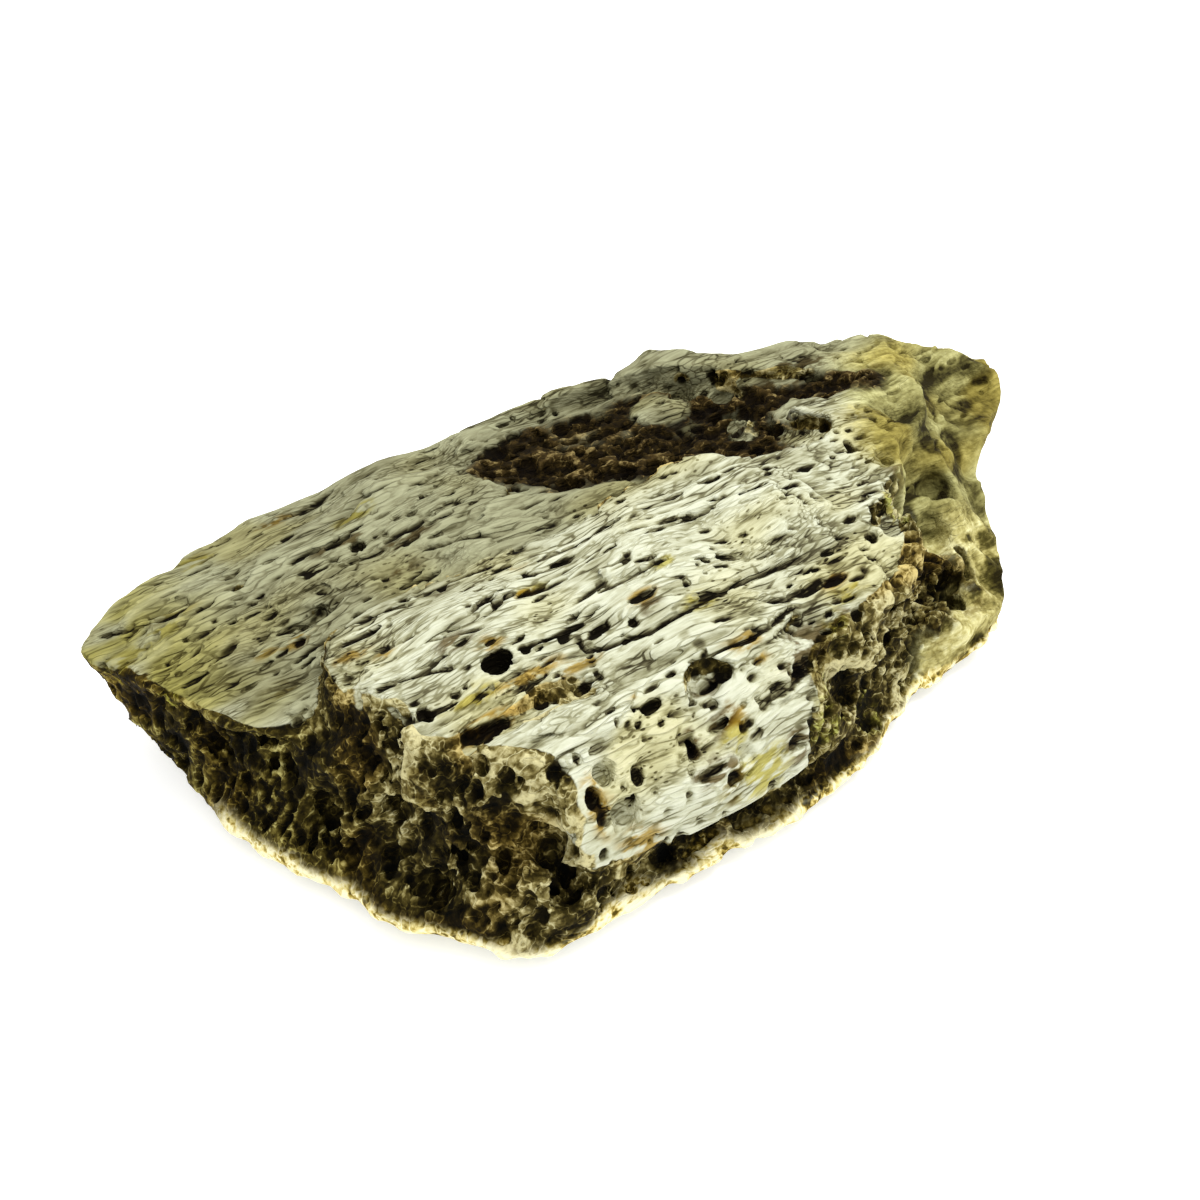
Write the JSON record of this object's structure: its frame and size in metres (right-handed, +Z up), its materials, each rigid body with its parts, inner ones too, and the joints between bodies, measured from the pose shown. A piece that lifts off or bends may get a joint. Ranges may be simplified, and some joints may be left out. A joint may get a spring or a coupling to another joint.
{
  "type": "fossil triceratops bone",
  "caption": "Broken, flat piece of fossil triceratops bone with a pale, pitted, grained skin on top, a dark trough, and rough spongy breaks all round.",
  "frame": {"origin": "under the middle of the bounding box, on the surface that the piece rests on", "axes": "+X along the grain of the bone and the piece's length, towards its narrow end; +Y towards the lower shelf and the trough at the back; +Z up, out of the pale skin"},
  "size_m": [0.0804, 0.0454, 0.0172],
  "materials": {
    "fossil_bone": "matte mineralised bone, pale and grained on top, brown and crumbly on the breaks"
  },
  "bodies": {
    "root": {"bone_fragment": "fossil_bone"}
  },
  "joints": []
}
